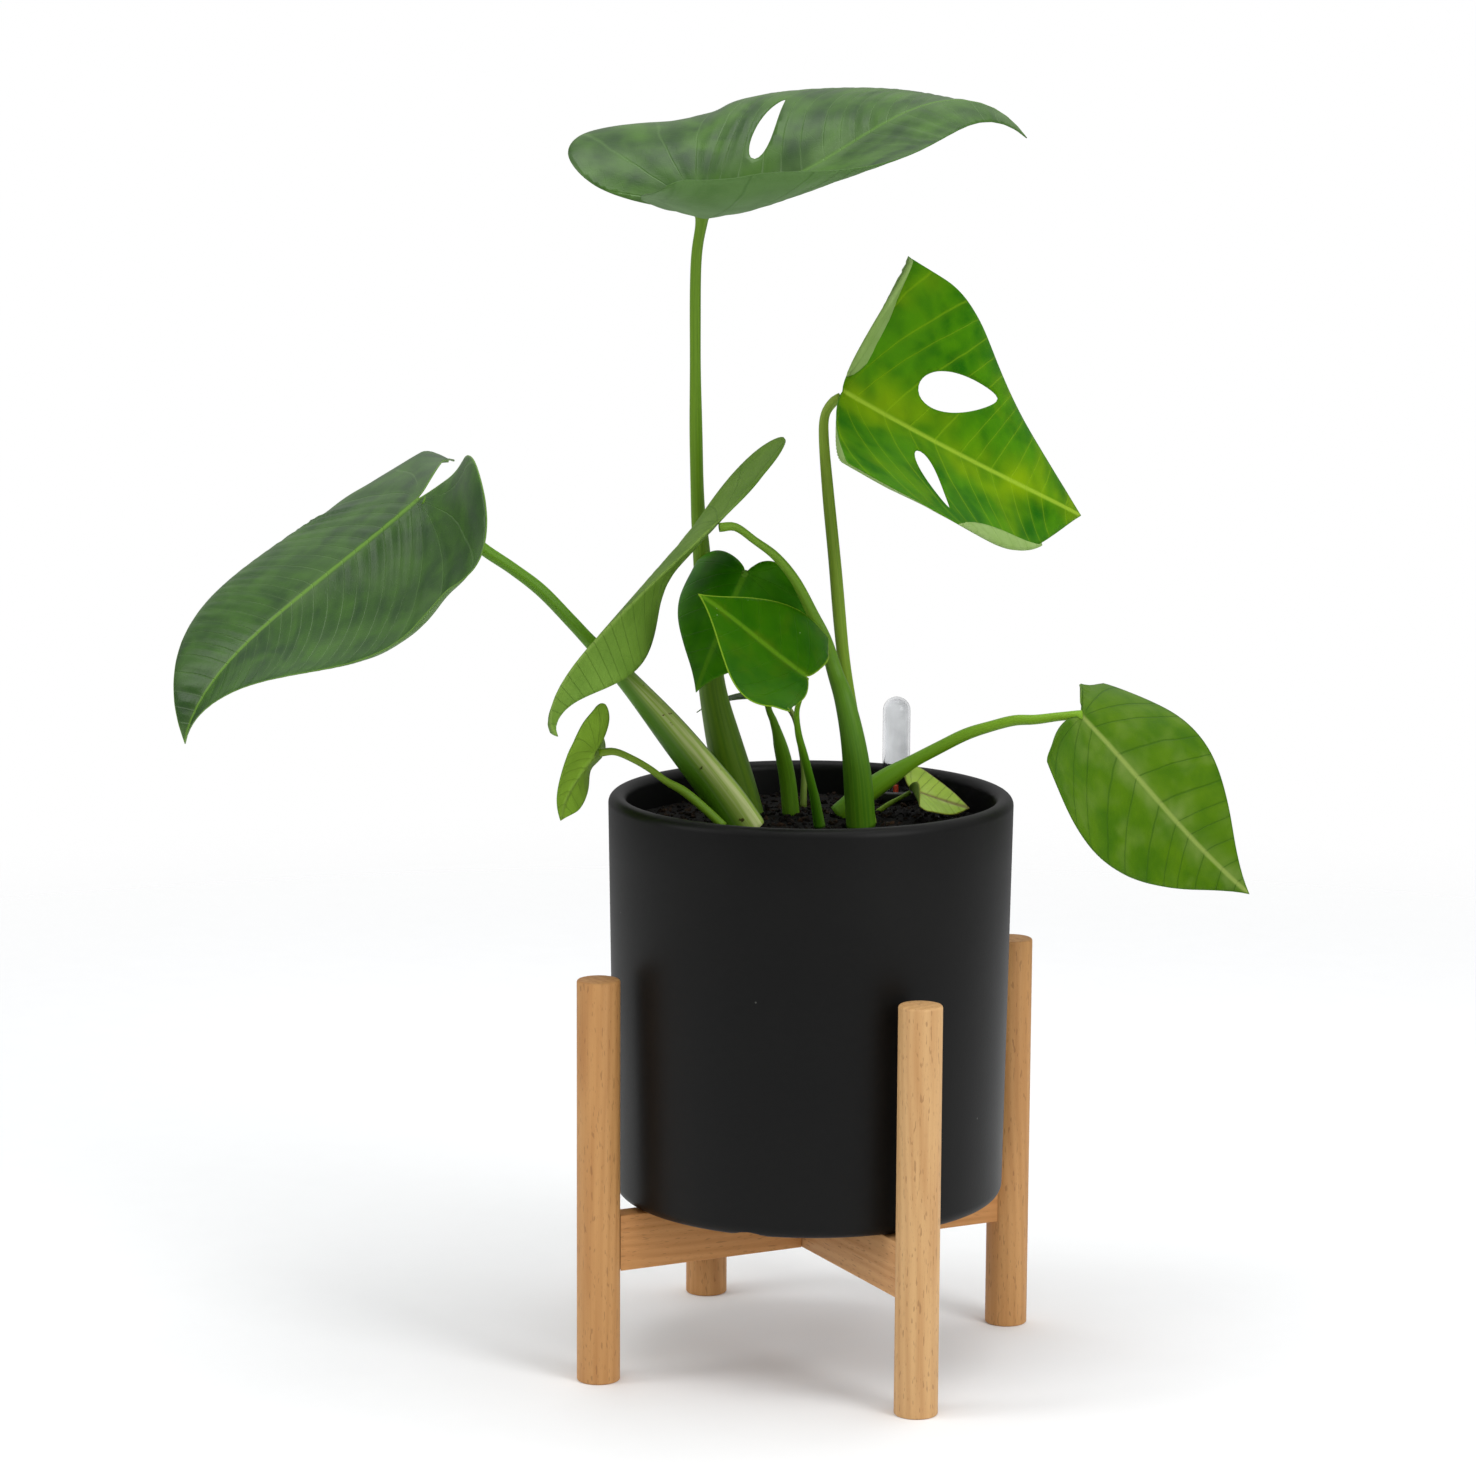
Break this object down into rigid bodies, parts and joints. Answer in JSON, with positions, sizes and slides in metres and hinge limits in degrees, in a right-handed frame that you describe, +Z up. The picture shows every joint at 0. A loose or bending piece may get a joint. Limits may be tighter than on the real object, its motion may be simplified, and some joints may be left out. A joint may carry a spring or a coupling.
{
  "type": "potted monstera plant",
  "caption": "Young monstera in a matte black cylinder pot on a low wooden cross stand, with a water-level gauge in the soil.",
  "frame": {"origin": "centre of the plant's whole footprint, on the floor under the stand's feet", "axes": "+Z up; the stand's legs stand on the diagonals of X and Y; the pot's small foot notch faces -Y"},
  "size_m": [0.4949, 0.2824, 0.6317],
  "materials": {
    "beech": "satin",
    "black_ceramic": "matte",
    "black_plastic": "satin",
    "potting_mix": "matte",
    "leaf_green": "satin",
    "stalk_green": "satin",
    "clear_plastic": "gloss",
    "white_foam": "matte",
    "orange_plastic": "satin"
  },
  "bodies": {
    "potted_plant": {"leg_1": "beech", "leg_2": "beech", "leg_3": "beech", "leg_4": "beech", "rail_upper": "beech", "rail_lower": "beech", "dowel_1_low": "beech", "dowel_1_high": "beech", "dowel_2_low": "beech", "dowel_2_high": "beech", "dowel_3_low": "beech", "dowel_3_high": "beech", "dowel_4_low": "beech", "dowel_4_high": "beech", "pot": "black_ceramic", "false_bottom": "black_plastic", "soil": "potting_mix", "leaf_top": "leaf_green", "leaf_upper_right": "leaf_green", "leaf_arching": "leaf_green", "leaf_left": "leaf_green", "leaf_lower_right": "leaf_green", "leaf_heart_back": "leaf_green", "leaf_heart_front": "leaf_green", "leaf_pale_back": "leaf_green", "leaf_small_left": "leaf_green", "leaf_torn": "leaf_green", "stalk_top": "stalk_green", "stalk_upper_right": "stalk_green", "stalk_arching": "stalk_green", "stalk_left": "stalk_green", "stalk_lower_right": "stalk_green", "stalk_heart_back": "stalk_green", "stalk_heart_front": "stalk_green", "stalk_pale_back": "stalk_green", "stalk_small_left": "stalk_green", "stalk_torn": "stalk_green", "gauge_sleeve": "black_plastic", "gauge_dome": "clear_plastic"},
    "float": {"gauge_float": "white_foam", "gauge_pointer": "orange_plastic"}
  },
  "joints": [
    {"name": "float_slide", "type": "slide", "parent": "potted_plant", "child": "float", "axis": [0, 0, 1], "range_m": [0, 0.038]}
  ]
}
